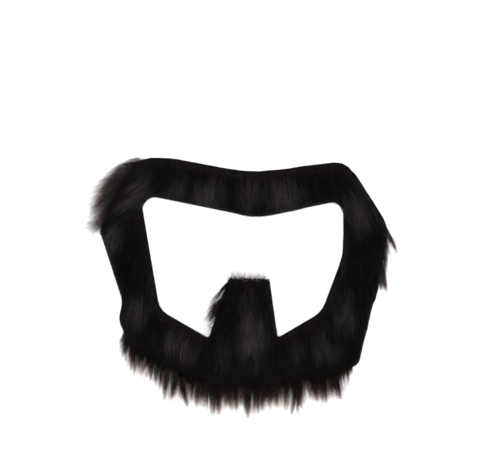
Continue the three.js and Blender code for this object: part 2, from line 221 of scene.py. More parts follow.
# Locks of their own. Each ends in a tip at a place, and comes to it at a heading that has turned by bend on
# the way. across is about half its width.
LOCK_COLUMNS = "x y heading bend length across count"
LOCKS = {
    "left_tuft_locks": table(LOCK_COLUMNS, [
        (-54.0, 56.2, -180, -4, 10, 1.1, 25),
        (-57.0, 54.7, -170, 6, 13, 1.7, 50),
        (-59.6, 52.0, -163, 8, 15, 2.0, 90),
        (-62.2, 50.3, -160, 10, 17, 1.7, 50),
        (-65.0, 47.8, -155, 10, 19, 2.0, 75),
        (-68.5, 45.1, -153, 10, 21, 1.4, 45),
        (-67.4, 42.4, -148, 8, 20, 1.7, 60),
        (-66.6, 40.2, -142, 8, 18, 2.1, 105),
        (-68.9, 37.3, -140, 8, 20, 1.7, 75),
        (-69.7, 33.5, -136, 10, 20, 1.7, 100),
        (-71.1, 29.8, -130, 8, 21, 1.1, 40),
        (-68.3, 30.2, -132, 8, 18, 1.7, 90),
        (-67.3, 27.0, -128, 6, 16, 1.7, 95),
        (-66.2, 24.0, -126, 4, 13, 1.3, 75),
    ]),
    "right_tuft_locks": table(LOCK_COLUMNS, [
        (68.6, 15.6, -61, -4, 22, 1.0, 190),
        (69.9, 11.6, -66, -7, 21, 0.7, 70),
        (64.2, 17.2, -60, 12, 10, 0.9, 70),
        (65.6, 12.6, -64, 10, 13, 0.7, 36),
        (63.7, 9.6, -82, 4, 14, 0.8, 22),
        (63.3, 3.0, -88, 4, 16, 0.8, 25),
        (64.2, -3.7, -70, 18, 16, 1.0, 120),
        (62.6, -2.3, -82, 6, 15, 1.1, 120),
        (61.5, -1.6, -87, 2, 13, 1.0, 120),
    ]),
    "chin_locks": table(LOCK_COLUMNS, [
        (-57.2, -25.0, -150, -30, 8, 0.8, 28),
        (-56.6, -27.2, -130, -20, 9, 1.0, 28),
        (-56.2, -30.6, -112, -8, 12, 1.0, 35),
        (-55.0, -32.5, -104, 0, 13, 0.9, 42),
        (-53.4, -34.8, -97, -4, 15, 0.8, 42),
        (-51.8, -35.5, -95, 0, 15, 0.7, 28),
        (-50.8, -37.8, -92, 0, 15, 0.5, 18),
        (-49.1, -39.0, -86, 4, 16, 0.8, 52),
        (-47.6, -38.6, -96, 0, 15, 0.8, 49),
        (-46.6, -39.0, -128, -30, 14, 0.7, 35),
        (-42.3, -44.4, -98, -12, 17, 1.1, 84),
        (-39.6, -46.0, -92, 0, 16, 1.2, 42),
        (-37.6, -47.0, -92, 0, 15, 0.9, 52),
        (-36.2, -53.8, -98, -8, 21, 1.2, 77),
        (-34.4, -54.2, -108, -16, 21, 1.1, 80),
        (-32.2, -51.5, -104, -12, 18, 1.2, 66),
        (-29.4, -53.0, -96, 0, 19, 1.0, 42),
        (-27.6, -51.0, -88, 0, 17, 1.0, 52),
        (-25.1, -55.6, -74, 10, 20, 1.2, 150),
        (-23.6, -53.0, -92, 0, 17, 1.0, 70),
        (-21.6, -56.5, -94, 0, 19, 1.0, 75),
        (-19.6, -54.5, -96, 0, 18, 1.1, 80),
        (-17.2, -56.0, -92, 0, 19, 1.1, 80),
        (-14.5, -59.8, -94, -6, 23, 1.5, 135),
        (-11.2, -59.2, -84, 6, 22, 1.5, 160),
        (-8.9, -56.0, -92, 0, 19, 1.0, 80),
        (-6.2, -55.6, -90, 0, 19, 0.9, 85),
        (-3.6, -57.2, -88, 0, 20, 1.1, 95),
        (1.8, -60.8, -86, 6, 24, 1.7, 185),
        (4.0, -58.2, -94, 0, 21, 1.1, 85),
        (5.9, -58.6, -90, 0, 21, 0.9, 85),
        (8.2, -57.2, -88, 0, 21, 1.4, 135),
        (11.2, -56.4, -90, 0, 19, 1.3, 75),
        (14.8, -55.6, -82, 8, 20, 1.1, 120),
        (17.9, -56.2, -94, -6, 19, 1.0, 80),
        (20.2, -59.8, -106, -22, 22, 1.0, 95),
        (23.4, -60.2, -96, -8, 22, 0.9, 60),
        (25.6, -55.6, -84, 4, 19, 1.2, 120),
        (28.0, -56.2, -40, 50, 17, 0.4, 15),
        (31.6, -52.0, -84, 0, 16, 1.0, 75),
        (32.9, -53.2, -80, 6, 17, 1.1, 110),
        (34.8, -52.0, -86, 0, 16, 0.9, 60),
        (36.9, -53.6, -80, 8, 18, 1.2, 110),
        (39.4, -51.0, -86, 0, 16, 1.1, 70),
        (42.4, -52.0, -76, 8, 18, 0.9, 80),
        (44.0, -52.4, -74, 8, 18, 0.8, 85),
        (44.6, -43.4, -90, 0, 11, 0.7, 40),
        (46.2, -43.5, -88, 0, 10.3, 0.6, 40),
    ]),
    "soul_patch_locks": table(LOCK_COLUMNS, [
        (-12.4, -6.2, -106, 40, 11.5, 0.5, 90),
        (-16.8, -13.8, -125, 10, 12, 1.0, 150),
        (-15.8, -16.4, -112, 14, 9.5, 1.0, 130),
        (-16.2, -7.6, -140, -10, 8, 1.2, 24),
        (-17.6, -12.2, -130, -6, 11, 1.2, 24),
        (-20.4, -15.8, -160, -34, 11, 1.6, 24),
    ]),
}

# Single fine hairs that leave the edge between two places, in bunches where bunch gives the distance between
# two of them. fade is how far a hair is on the way to its tip's colour at its root.
FLYAWAYS = table("from to heading fan length count bunch fade", [
    ((-7.5, 3.0), (10.5, 3.0), 95, 42, (2, 9), 210, 0, 0.5),
    ((-7.0, 3.0), (1.6, 3.0), 90, 14, (0.7, 1.6), 240, 2.0, 0),
    ((1.6, 3.0), (10.8, 2.9), 90, 14, (0.3, 1.1), 240, 2.0, 0),
    ((-7.5, 2.0), (-15.0, -20.0), -150, 30, (3, 10), 110, 0, 0.5),
    ((-46.0, 56.0), (-51.0, 51.0), -172, 10, (4, 12), 110, 0, 0.15),
    ((-51.0, 51.0), (-57.0, 40.0), -157, 11, (12, 21), 320, 0, 0.25),
    ((-57.0, 40.0), (-63.0, 29.0), -146, 11, (9, 16), 220, 0, 0.25),
    ((-53.0, -22.0), (-18.0, -41.0), -99, 12, (8, 19), 340, 0, 0.25),
    ((-18.0, -41.5), (48.0, -36.0), -89, 12, (10, 20), 420, 0, 0.2),
    ((63.5, 27.0), (60.0, 6.0), -70, 14, (3, 10), 90, 0, 0.3),
])

# Places where a painted sheen lightens the hair's colour, which fades over a distance across in x and along
# in y
PAINTED_SHEEN = table("x y across along amount", [
    (-55, 43, 12, 11, 1.0),
    (-30, 43, 9, 5, 0.55),
    (-16, 40, 10, 6, 0.75),
    (2, 40, 7, 7, 0.65),
    (17, 40, 10, 6, 0.8),
    (48, 39, 8, 5, 0.45),
    (52, 30, 7, 9, 0.65),
    (-58.5, 21, 4, 7, 0.9),
    (-51, 30, 4, 5, 0.4),
    (-48, -13, 6, 8, 0.75),
    (-31, -30, 11, 8, 0.95),
    (3, -26, 7, 15, 1.0),
    (-10, -33, 8, 10, 0.5),
    (2, -9, 8, 8, 0.4),
    (22, -30, 8, 8, 0.5),
    (36, -31, 8, 9, 0.65),
    (53, 9, 6, 12, 0.15),
    (45, -16, 7, 11, 0.55),
])


def node_mesh(name):
    """Places in millimetres and triangles of a CAD node, with doubled vertices merged."""
    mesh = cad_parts[name].data
    co = np.empty(len(mesh.vertices) * 3)
    mesh.vertices.foreach_get("co", co)
    mesh.calc_loop_triangles()
    corners = np.empty(len(mesh.loop_triangles) * 3, int)
    mesh.loop_triangles.foreach_get("vertices", corners)
    places, index = np.unique(np.round(co.reshape(-1, 3) / MM, 3), axis=0, return_inverse=True)
    return places, index.ravel()[corners].reshape(-1, 3)


def rims_of(name):
    """The closed edges of a sheet's top face, the widest first, each with the sheet on its left."""
    places, triangles = node_mesh(name)
    on_top = places[:, 2] > places[:, 2].max() - 0.01
    edges = set()
    for a, b, c in triangles[on_top[triangles].all(1)].tolist():
        edges |= {(a, b), (b, c), (c, a)}
    following = {a: b for a, b in edges if (b, a) not in edges}
    rims = []
    while following:
        rim = [next(iter(following))]
        while rim[-1] in following:
            rim.append(following.pop(rim[-1]))
        rims.append(places[rim[:-1], :2])
    return sorted(rims, key=lambda rim: -np.ptp(rim[:, 0]))


def is_inside(points, rims):
    x, y = points[..., 0], points[..., 1]
    odd = np.zeros(x.shape, bool)
    for rim in rims:
        for (ax, ay), (bx, by) in zip(rim, np.roll(rim, -1, 0)):
            if ay != by:
                odd ^= ((ay > y) != (by > y)) & (x < (bx - ax) * (y - ay) / (by - ay) + ax)
    return odd


def distance_to(points, rims):
    least = np.full(points.shape[:-1], np.inf)
    for rim in rims:
        for a, b in zip(rim, np.roll(rim, -1, 0)):
            run = b - a
            share = np.clip((points - a) @ run / (run @ run), 0, 1)
            least = np.minimum(least, np.linalg.norm(points - a - share[..., None] * run, axis=-1))
    return least


def rim_normals(rim):
    """A unit step into the sheet at each point of a rim, longer at corners to keep the runs parallel."""
    before = rim - np.roll(rim, 1, 0)
    after = np.roll(rim, -1, 0) - rim
    runs = (before, after)
    a, b = (np.stack([-run[:, 1], run[:, 0]], 1) / np.linalg.norm(run, axis=1)[:, None] for run in runs)
    return (a + b) / np.maximum(1 + (a * b).sum(1), 0.4)[:, None]


def divided(rim, pitch):
    """A rim with its long runs cut into stretches no longer than the pitch."""
    runs = []
    for a, b in zip(rim, np.roll(rim, -1, 0)):
        count = max(1, math.ceil(np.linalg.norm(b - a) / pitch))
        runs.append(a + (b - a) * np.arange(count)[:, None] / count)
    return np.concatenate(runs)


def rounded(rim):
    """A rim with an arc in place of each corner that the hair rounds off."""
    for row in ROUNDED_CORNERS:
        corner, centre = np.array(row["corner"]), np.array(row["centre"])
        tangent = math.sqrt(math.dist(corner, centre) ** 2 - row["radius"] ** 2)
        near = np.linalg.norm(rim - corner, axis=1) < tangent
        if not near.any():
            continue
        first = np.flatnonzero(near & ~np.roll(near, 1))[0]
        rim = np.roll(rim, -first, 0)
        kept = rim[near.sum():]
        ends = []
        for end in (kept[-1], kept[0]):
            ends.append(corner + tangent * (end - corner) / math.dist(end, corner) - centre)
        angles = np.unwrap([math.atan2(end[1], end[0]) for end in ends])
        turn = np.linspace(*angles, 8)
        rim = np.concatenate([centre + row["radius"] * np.stack([np.cos(turn), np.sin(turn)], 1), kept])
    return rim


def leant_over(rim):
    """A rim moved off the sheet where the coat leans over it."""
    rim = divided(rim, 2.0)
    by = np.zeros(len(rim))
    for row in OVERHANGS:
        away = np.hypot(rim[:, 0] - row["x"], rim[:, 1] - row["y"]) / row["radius"]
        by = np.maximum(by, row["by"] * np.clip(1.3 * (1 - away**2), 0, 1))
    return rim - by[:, None] * rim_normals(rim)


cloth_rims = rims_of("fabric_backing")
hair_rims = [leant_over(rounded(rim)) for rim in cloth_rims]
cloth_low, cloth_high = (np.array(corner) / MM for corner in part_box("fabric_backing"))
CLOTH_TOP = cloth_high[2]

field_low = cloth_low[:2] - FIELD_MARGIN
field_size = np.ceil((cloth_high[:2] - cloth_low[:2] + 2 * FIELD_MARGIN) / FIELD_PITCH).astype(int) + 1
field_grid = np.meshgrid(*(np.arange(n) for n in field_size), indexing="ij")
field_points = field_low + np.stack(field_grid, -1) * FIELD_PITCH
depth_field = np.where(is_inside(field_points, cloth_rims), 1, -1) * distance_to(field_points, cloth_rims)
trim_field = np.where(is_inside(field_points, hair_rims), 1, -1) * distance_to(field_points, hair_rims)


def depth_at(points, field=depth_field):
    """How far points lie inside the edges of a field, the cloth's if none is given; below 0 outside."""
    place = np.clip((points - field_low) / FIELD_PITCH, 0, field_size - 1.001)
    column = place.astype(int)
    share = place - column
    i, j = column[..., 0], column[..., 1]
    u, v = share[..., 0], share[..., 1]
    near = field[i, j] * (1 - u) + field[i + 1, j] * u
    away = field[i, j + 1] * (1 - u) + field[i + 1, j + 1] * u
    return near * (1 - v) + away * v


def pile_height(depth):
    """Height of the fur over the cloth, rounded off towards the cloth's edges."""
    share = np.clip(depth / CROWN_INSET, 0, 1)
    return PILE_EDGE + (PILE_CROWN - PILE_EDGE) * np.sqrt(1 - (1 - share) ** 2)


def heading_at(points):
    """The lay of the hair, in radians."""
    weights = []
    for row in LAY:
        away = (points[..., 0] - row["x"]) ** 2 + (points[..., 1] - row["y"]) ** 2
        weights.append(1 / (away + LAY_BLEND) ** 2)
    total = sum(weight * row["heading"] for weight, row in zip(weights, LAY))
    return np.radians(total / sum(weights))


def reach_at(points, column):
    """How far hairs that cross the edge at these points pass it, by a column of the free stretches."""
    reach = np.zeros(points.shape[:-1])
    for row in FREE_STRETCHES:
        away = np.hypot(points[..., 0] - row["x"], points[..., 1] - row["y"])
        reach = np.maximum(reach, row[column] * np.clip(4 * (1 - away / row["radius"]), 0, 1))
    return reach


def make_object(name, places, loops, sizes, uv=None, smooth=True):
    """A mesh object from places in millimetres, its faces' corners in a row and each face's corner count."""
    mesh = bpy.data.meshes.new(name)
    mesh.vertices.add(len(places))
    mesh.vertices.foreach_set("co", (np.asarray(places) * MM).ravel())
    mesh.loops.add(len(loops))
    mesh.loops.foreach_set("vertex_index", loops)
    mesh.polygons.add(len(sizes))
    mesh.polygons.foreach_set("loop_start", np.concatenate([[0], np.cumsum(sizes)[:-1]]))
    mesh.polygons.foreach_set("use_smooth", np.full(len(sizes), smooth))
    if uv is not None:
        layer = mesh.uv_layers.new(name="OFBake")
        layer.data.foreach_set("uv", uv[loops].ravel())
    mesh.update(calc_edges=True)
    mesh.validate()
    made = bpy.data.objects.new(name, mesh)
    bpy.context.scene.collection.objects.link(made)
    return made


def plan_grid(low, high, pitch):
    """Points on the plan, a pitch apart in x and in y."""
    return np.stack(np.meshgrid(*(np.arange(a, b, pitch) for a, b in zip(low, high))), -1).reshape(-1, 2)


def flat_body(name, rims, bottom, top, pitch, inset=0.0):
    """A closed body on the plan inside the rims. bottom is a height, and top a function of plan points."""
    moved = [rim + inset * rim_normals(rim) for rim in rims]
    grid = plan_grid(moved[0].min(0), moved[0].max(0), pitch)
    grid = grid[is_inside(grid, moved)]
    grid = grid[distance_to(grid, moved) > 0.6 * pitch]
    finer = [divided(rim, pitch) for rim in moved]
    points = [Vector(p) for p in np.concatenate([*finer, grid])]
    edges = []
    start = 0
    for rim in finer:
        edges += [(start + i, start + (i + 1) % len(rim)) for i in range(len(rim))]
        start += len(rim)
    plan, _, faces, *_ = delaunay_2d_cdt(points, edges, [], 0, 1e-6)
    plan = np.array([tuple(p) for p in plan])
    faces = np.array(faces)
    faces = faces[is_inside(plan[faces].mean(1), moved)]
    ab, ac = plan[faces[:, 1]] - plan[faces[:, 0]], plan[faces[:, 2]] - plan[faces[:, 0]]
    turned = ab[:, 0] * ac[:, 1] - ab[:, 1] * ac[:, 0] < 0
    faces[turned] = faces[turned][:, ::-1]
    directed = {(a, b) for face in faces.tolist() for a, b in zip(face, face[1:] + face[:1])}
    border = [(a, b) for a, b in directed if (b, a) not in directed]
    count = len(plan)
    above = np.column_stack([plan, top(plan)])
    below = np.column_stack([plan, np.full(count, bottom)])
    places = np.concatenate([above, below])
    walls = [(a, a + count, b + count, b) for a, b in border]
    loops = np.concatenate([faces.ravel(), (faces[:, ::-1] + count).ravel(), np.array(walls).ravel()])
    sizes = [3] * (2 * len(faces)) + [4] * len(walls)
    used = np.unique(loops)
    renumbered = np.searchsorted(used, loops)
    return make_object(name, places[used], renumbered, sizes, smooth=False)


def zone_of(roots):
    """For each root, the fur node that stands over it, or an empty name."""
    found = np.full(len(roots), "", dtype="<U20")
    for name in ZONES:
        places, triangles = node_mesh(name)
        tree = BVHTree.FromPolygons([Vector(p) for p in places], triangles.tolist())
        for i in np.flatnonzero(found == ""):
            if tree.ray_cast(Vector((*roots[i], 50)), Vector((0, 0, -1)))[0] is not None:
                found[i] = name
    return found


def comb(roots, longest, turn, wave=0.0):
    """Lines over the plan that follow the lay from the roots, a point at each step."""
    line = [roots]
    phase = random.uniform(0, 2 * math.pi, len(roots))
    pace = random.uniform(0.5, 0.9, len(roots)) * STEP
    for step in range(int(longest / STEP) + 2):
        heading = heading_at(line[-1]) + turn + wave * np.sin(phase + pace * step)
        line.append(line[-1] + STEP * np.stack([np.cos(heading), np.sin(heading)], -1))
    return np.stack(line, 1)


def along(line, distance):
    """The point of each line at a distance from its root; distance has a column for each wanted point."""
    place = np.clip(distance / STEP, 0, line.shape[1] - 1.001)
    index = place.astype(int)
    share = (place - index)[..., None]
    rows = np.arange(len(line))[:, None]
    return line[rows, index] * (1 - share) + line[rows, index + 1] * share


def nearest(points, middles):
    """For each point, which of the middles is nearest."""
    parts = np.array_split(points, max(1, len(points) // 2000))
    return np.concatenate([((part[:, None] - middles[None]) ** 2).sum(-1).argmin(1) for part in parts])


def spread_out(points, spacing):
    """Some of the points, no two nearer than the spacing."""
    kept = []
    for point in points[random.permutation(len(points))[:2500]]:
        if all(math.dist(point, other) >= spacing for other in kept):
            kept.append(point)
    return np.array(kept)


def edge_crossing(line):
    """How far along each line it leaves the cloth, infinite if it doesn't, and where."""
    depth = depth_at(line, trim_field)
    outside = depth < 0
    outside[:, 0] = False
    crosses = outside.any(1)
    first = np.where(crosses, outside.argmax(1), line.shape[1] - 1)
    rows = np.arange(len(line))
    before, after = depth[rows, first - 1], depth[rows, first]
    part = np.where(crosses, np.clip(before / np.maximum(before - after, 1e-6), 0, 1), 1)
    distance = np.where(crosses, (first - 1 + part) * STEP, np.inf)
    return distance, along(line, np.minimum(distance, 1e3)[:, None])[:, 0]


def painted_sheen_at(points):
    """How much painted sheen lightens the hair's colour at these points, from 0 to 1."""
    light = np.zeros(points.shape[:-1])
    for row in PAINTED_SHEEN:
        aside = (points[..., 0] - row["x"]) / row["across"]
        down = (points[..., 1] - row["y"]) / row["along"]
        light = np.maximum(light, row["amount"] * np.exp(-(aside**2 + down**2)))
    return light


def between(span, count):
    return random.uniform(*span, count)


def hairs(name, roots, spec):
    """A field of hairs in clumps, trimmed or gathered into locks where they leave the cloth."""
    count = len(roots)
    grid = plan_grid(roots.min(0) - spec["clump"], roots.max(0) + spec["clump"], spec["clump"])
    middles = grid + random.uniform(-0.45, 0.45, grid.shape) * spec["clump"]
    clump = nearest(roots, middles)
    clump_turn = random.normal(0, 0.08, len(middles))
    clump_length = random.uniform(0.8, 1.1, len(middles))
    clump_height = random.uniform(0.82, 1.08, len(middles))
    clump_light = random.normal(0, 0.025, len(middles))
    clump_painted_gloss = random.uniform(0.7, 1.2, len(middles))

    longest = 1.1 * spec["length"]
    length = spec["length"] * clump_length[clump] * random.uniform(0.75, 1.0, count)
    turn = clump_turn[clump] + random.normal(0, spec["turn"], count)
    line = comb(roots, longest, turn, spec["wave"])
    guide = comb(middles, longest, clump_turn)[clump]
    share = np.linspace(0, 1, line.shape[1])[None, :, None]
    line = line + (guide - line) * spec["pull"] * share**1.4

    edge_distance, crossing = edge_crossing(line)
    reach = np.where(np.isfinite(edge_distance), reach_at(crossing, spec["free"]), 0)
    tip_height = random.uniform(0.3, 2.2, count)
    hangs = np.flatnonzero(reach > 0.5)
    if len(hangs):
        anchors = spread_out(crossing[hangs], spec["lock"])
        lock = nearest(crossing[hangs], anchors)
        lock_turn = random.normal(0, 0.13, len(anchors))
        lock_line = comb(anchors, longest, lock_turn)[lock]
        reach[hangs] *= between(spec["hang"], len(anchors))[lock]
        beyond = np.maximum(np.arange(line.shape[1]) * STEP - edge_distance[hangs, None], 0)
        gathered = np.clip(beyond / reach[hangs, None], 0, 1) ** 0.85 * spec["gather"]
        line[hangs] += (along(lock_line, beyond) - line[hangs]) * gathered[..., None]
        tip_height[hangs] = random.uniform(0.4, 2.6, len(anchors))[lock] + random.normal(0, 0.25, len(hangs))
    shortest, fullest = spec["tips"]
    tip_share = shortest + (fullest - shortest) * random.uniform(0, 1, count) ** spec["thin"]
    trimmed = edge_distance + reach * tip_share + random.uniform(0, 0.25, count)
    length = np.minimum(length, trimmed)
    if spec["past_edge_only"]:
        stays = length > edge_distance + 0.4
        fields = (roots, length, clump, edge_distance, crossing, reach, tip_height, line)
        kept = (field[stays] for field in fields)
        roots, length, clump, edge_distance, crossing, reach, tip_height, line = kept
        count = len(roots)

    shares = np.linspace(0, 1, spec["rings"] + 1) ** 1.15
    distance = length[:, None] * shares
    plan = along(line, distance)
    layer = (0.3 + 0.75 * random.uniform(0, 1, count) ** 0.8) * clump_height[clump] * spec["layer"]
    z = CLOTH_TOP + layer[:, None] * pile_height(depth_at(plan)) * (1 - np.exp(-distance / RISE))
    beyond = np.clip((distance - edge_distance[:, None]) / np.maximum(reach, 1)[:, None], 0, 1)
    z = z + (np.maximum(tip_height, 0.2)[:, None] - z) * beyond**1.2
    z[:, 0] = CLOTH_TOP

    # The hair's lightness: a painted sheen where the coat would catch the light, plus tone that differs at
    # random from clump to clump and hair to hair.
    painted_gloss = clump_painted_gloss[clump] * random.uniform(0.7, 1.2, count) * painted_sheen_at(plan[:, len(shares) // 2])
    light = np.clip(0.1 + 0.9 * painted_gloss + clump_light[clump] + random.normal(0, 0.03, count), 0, 1)
    kind = LYING[0] + (LYING[1] - LYING[0]) * light
    by_edge = (depth_at(roots) < EDGE_DEPTH) & (random.uniform(0, 1, count) < 0.7)
    kind = np.where(by_edge, between(AT_EDGE, count), kind)
    kind = np.where(length > edge_distance + 1.5, between(spec["hanging"], count), kind)
    radius = spec["radius"] * random.uniform(0.75, 1.25, count)
    inside = np.minimum(edge_distance, length)[:, None]
    furthest = np.maximum(reach_at(crossing, "reach"), 4)[:, None]
    past = np.clip((distance - inside) / furthest, 0, 1) ** 1.4
    way = np.where(distance < inside, 0.6 * distance / inside, 0.6 + 0.4 * past)
    way = np.where(np.isfinite(edge_distance)[:, None], way, shares)
    return tubes(name, np.concatenate([plan, z[..., None]], -1), radius, shares, kind, way)


def locks(name, rows, colours):
    """Locks that taper from a spread of roots to one tip each."""
    shares = np.linspace(0, 1, 5)
    steps = 16
    lines, radii, ways = [], [], []
    for row in rows:
        count = row["count"]
        back = np.radians(row["heading"] - row["bend"] * (np.arange(steps) + 0.5) / steps)
        run = np.cumsum(np.stack([np.cos(back), np.sin(back)], -1), 0) * row["length"] / steps
        middle = np.array([row["x"], row["y"]]) - np.concatenate([[(0, 0)], run])
        middle = middle[::-1]
        start = random.uniform(0, 0.45, count)
        end = 1 - 0.45 * random.uniform(0, 1, count) ** 1.5
        part = start[:, None] + (end - start)[:, None] * shares
        place = part * steps
        index = np.minimum(place.astype(int), steps - 1)
        share = (place - index)[..., None]
        guide = middle[index] * (1 - share) + middle[index + 1] * share
        offset = np.clip(random.normal(0, 0.5, (count, 2)), -1, 1) * row["across"]
        width = (0.3 + 0.7 * np.clip(part / 0.3, 0, 1)) * (1.35 - 0.85 * part**1.8)
        plan = guide + offset[:, None] * width[..., None]
        plan = plan + random.normal(0, 0.55 * row["across"], (count, 1, 2)) * (shares**2)[:, None]
        peak = random.uniform(0.8, 2.8, count)[:, None]
        z = CLOTH_TOP + 0.2 + peak * np.sin(math.pi * np.clip(part, 0, 1) ** 0.8) * shares**0.3 * 0.9
        lines.append(np.concatenate([plan, z[..., None]], -1))
        radii.append(random.uniform(0.035, 0.06, count))
        ways.append(0.55 * part + 0.45 * shares)
    radius = np.concatenate(radii)
    kind = between(colours, len(radius))
    return tubes(name, np.concatenate(lines), radius, shares, kind, np.concatenate(ways))


def flyaways(name):
    """Single fine hairs beyond the coat, each with a bend of its own."""
    lines, radii, kinds, ways = [], [], [], []
    shares = np.linspace(0, 1, 6)
    for row in FLYAWAYS:
        count = row["count"]
        place = random.uniform(0, 1, count)
        start, end = np.array(row["from"]), np.array(row["to"])
        if row["bunch"]:
            whole = np.linalg.norm(end - start) / row["bunch"]
            place = (np.floor(place * whole) + 0.5 + random.normal(0, 0.17, count)) / whole
        roots = start + (end - start) * place[:, None]
        heading = np.radians(row["heading"] + random.normal(0, row["fan"], count))
        bend = random.normal(0, 0.12, count)
        length = between(row["length"], count)
        line = [roots]
        for step in range(5):
            turned = heading + bend * step
            line.append(line[-1] + (length / 5)[:, None] * np.stack([np.cos(turned), np.sin(turned)], -1))
        plan = np.stack(line, 1)
        z = CLOTH_TOP + 0.6 + random.uniform(0, 1.4, count)[:, None] * np.sin(shares * 2.6)[None]
        z = z - 0.5 * shares
        lines.append(np.concatenate([plan, z[..., None]], -1))
        radii.append(random.uniform(0.032, 0.055, count) * (1.4 if row["bunch"] else 1))
        kinds.append(between((0.0, 0.1) if row["bunch"] else FLYING, count))
        ways.append(np.tile(row["fade"] + (1 - row["fade"]) * shares, (count, 1)))
    kind, way = np.concatenate(kinds), np.concatenate(ways)
    return tubes(name, np.concatenate(lines), np.concatenate(radii), shares, kind, way)


def tubes(name, centre, radius, shares, kind, way):
    """One mesh of tapering three-sided hairs, each a closed tube from its root to its point. way is where the
    texture takes each ring to be on the way from root to tip."""
    count, rings = len(centre), len(shares) - 1
    tangent = np.gradient(centre, axis=1)
    tangent /= np.maximum(np.linalg.norm(tangent, axis=-1, keepdims=True), 1e-9)
    aside = np.cross(tangent, [0, 0, 1])
    aside /= np.maximum(np.linalg.norm(aside, axis=-1, keepdims=True), 1e-6)
    over = np.cross(aside, tangent)
    girth = radius[:, None] * (1 - 0.72 * shares[:rings])
    angles = math.pi / 2 + np.arange(3) * 2 * math.pi / 3
    ring = (
        aside[:, :rings, None] * np.cos(angles)[:, None] + over[:, :rings, None] * np.sin(angles)[:, None]
    ) * girth[..., None, None] + centre[:, :rings, None]
    places = np.concatenate([ring.reshape(count, -1, 3), centre[:, -1:]], 1).reshape(-1, 3)

    corners = [0, 2, 1]
    sizes = [3]
    for level in range(rings - 1):
        for side in range(3):
            a, b = 3 * level + side, 3 * level + (side + 1) % 3
            corners += [a, b, b + 3, a + 3]
            sizes.append(4)
    for side in range(3):
        corners += [3 * (rings - 1) + side, 3 * (rings - 1) + (side + 1) % 3, 3 * rings]
        sizes.append(3)
    loops = (np.array(corners)[None] + (3 * rings + 1) * np.arange(count)[:, None]).ravel()

    # u is the hair's kind, which for lying hair also holds its lightness with the painted sheen, and v runs
    # from root to point.
    u = kind[:, None] + np.tile([0, 0.002, 0.004], rings)[None]
    u = np.concatenate([u, kind[:, None] + 0.002], 1)
    way = np.broadcast_to(way, (count, rings + 1))
    v = np.concatenate([np.repeat(way[:, :rings], 3, 1), way[:, rings:]], 1)
    uv = np.stack([u, 0.02 + 0.96 * v], -1).reshape(-1, 2)
    return make_object(name, places, loops, np.tile(sizes, count), uv)


def new_material(name):
    made = bpy.data.materials.new(name)
    made.use_nodes = True
    return made, made.node_tree.nodes, made.node_tree.links, made.node_tree.nodes["Principled BSDF"]


def ramp(nodes, links, source, stops):
    """A colour ramp over a value, with a stop for each place and colour."""
    made = nodes.new("ShaderNodeValToRGB")
    elements = made.color_ramp.elements
    while len(elements) < len(stops):
        elements.new(0.5)
    for element, (place, colour) in zip(elements, stops):
        element.position = place
        element.color = (*colour, 1)
    links.new(source, made.inputs[0])
    return made.outputs[0]


def raised(nodes, links, source, shader, strength, distance):
    """Raises the surface that a shader shows by a value."""
    made = nodes.new("ShaderNodeBump")
    made.inputs["Strength"].default_value = strength
    made.inputs["Distance"].default_value = distance
    links.new(source, made.inputs["Height"])
    links.new(made.outputs[0], shader.inputs["Normal"])


def fur_material():
    made, nodes, links, shader = new_material("black_hair")
    where = nodes.new("ShaderNodeUVMap")
    where.uv_map = "OFBake"
    split = nodes.new("ShaderNodeSeparateXYZ")
    links.new(where.outputs["UV"], split.inputs[0])
    kind, way = split.outputs["X"], split.outputs["Y"]
    # Lying hair runs from its darkest colour at 0 to the painted sheen's lighter colour at 0.62.
    middle = ramp(nodes, links, kind, [
        (0.0, (0.0030, 0.0023, 0.0023)),
        (0.2, (0.0075, 0.0062, 0.0065)),
        (0.62, (0.072, 0.061, 0.066)),
        (0.64, (0.0105, 0.0052, 0.0050)),
        (0.70, (0.0090, 0.0045, 0.0043)),
        (0.71, (0.0075, 0.0055, 0.0055)),
        (0.80, (0.0090, 0.0062, 0.0060)),
        (0.85, (0.022, 0.015, 0.014)),
        (0.87, (0.012, 0.009, 0.009)),
        (0.92, (0.040, 0.030, 0.030)),
        (0.94, (0.030, 0.024, 0.022)),
    ])
    tip = ramp(nodes, links, kind, [
        (0.0, (0.0032, 0.0025, 0.0025)),
        (0.2, (0.0080, 0.0066, 0.0069)),
        (0.62, (0.076, 0.065, 0.070)),
        (0.64, (0.0110, 0.0054, 0.0050)),
        (0.70, (0.0100, 0.0048, 0.0044)),
        (0.725, (0.042, 0.020, 0.017)),
        (0.735, (0.045, 0.033, 0.034)),
        (0.745, (0.085, 0.066, 0.068)),
        (0.75, (0.170, 0.080, 0.060)),
        (0.80, (0.380, 0.220, 0.165)),
        (0.85, (0.580, 0.410, 0.340)),
        (0.87, (0.150, 0.110, 0.106)),
        (0.92, (0.420, 0.330, 0.305)),
        (0.94, (0.480, 0.390, 0.350)),
    ])
    # Painted shade: the colour darkens towards each hair's root, down in the coat.
    painted_root_shade = ramp(nodes, links, way, [(0.0, (0.2, 0.2, 0.2)), (0.4, (1, 1, 1))])
    to_tip = ramp(nodes, links, way, [(0.59, (0, 0, 0)), (0.69, (0.3, 0.3, 0.3)), (0.84, (1, 1, 1))])
    blend = nodes.new("ShaderNodeMix")
    blend.data_type = "RGBA"
    links.new(to_tip, blend.inputs["Factor"])
    links.new(middle, blend.inputs["A"])
    links.new(tip, blend.inputs["B"])
    shade = nodes.new("ShaderNodeMix")
    shade.data_type = "RGBA"
    shade.blend_type = "MULTIPLY"
    shade.inputs["Factor"].default_value = 1
    links.new(blend.outputs["Result"], shade.inputs["A"])
    links.new(painted_root_shade, shade.inputs["B"])
    links.new(shade.outputs["Result"], shader.inputs["Base Color"])
    shader.inputs["Roughness"].default_value = 0.45
    shader.inputs["Specular IOR Level"].default_value = 0.05
    return made


